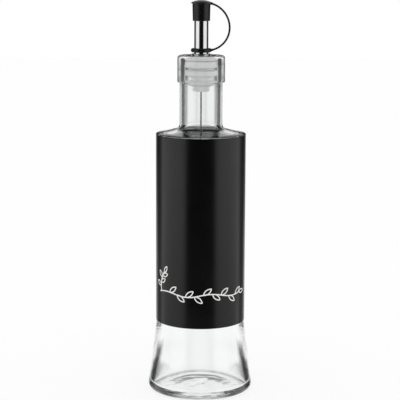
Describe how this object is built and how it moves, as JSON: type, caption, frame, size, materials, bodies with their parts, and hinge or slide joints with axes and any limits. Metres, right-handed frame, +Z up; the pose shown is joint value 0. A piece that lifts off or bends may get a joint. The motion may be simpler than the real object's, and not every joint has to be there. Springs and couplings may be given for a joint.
{
  "type": "vinegar cruet",
  "caption": "Tall clear glass vinegar cruet with a flared foot, a black steel sleeve, a ribbed stopper and a steel pouring spout under a tethered rubber dust cap.",
  "frame": {"origin": "middle of the base, on the surface that the cruet stands on", "axes": "+Z up along the bottle's axis, +X towards the strap of the dust cap, -Y towards the printed side of the sleeve"},
  "size_m": [0.0702, 0.0702, 0.2625],
  "materials": {
    "bottle": "clear, polished",
    "sleeve": "satin",
    "stopper": "translucent, satin",
    "spout": "polished",
    "vent_tube": "satin",
    "cap": "satin"
  },
  "bodies": {
    "root": {"bottle": "bottle", "sleeve": "sleeve", "stopper": "stopper", "spout": "spout", "vent_tube": "vent_tube", "cap": "cap"}
  },
  "joints": []
}
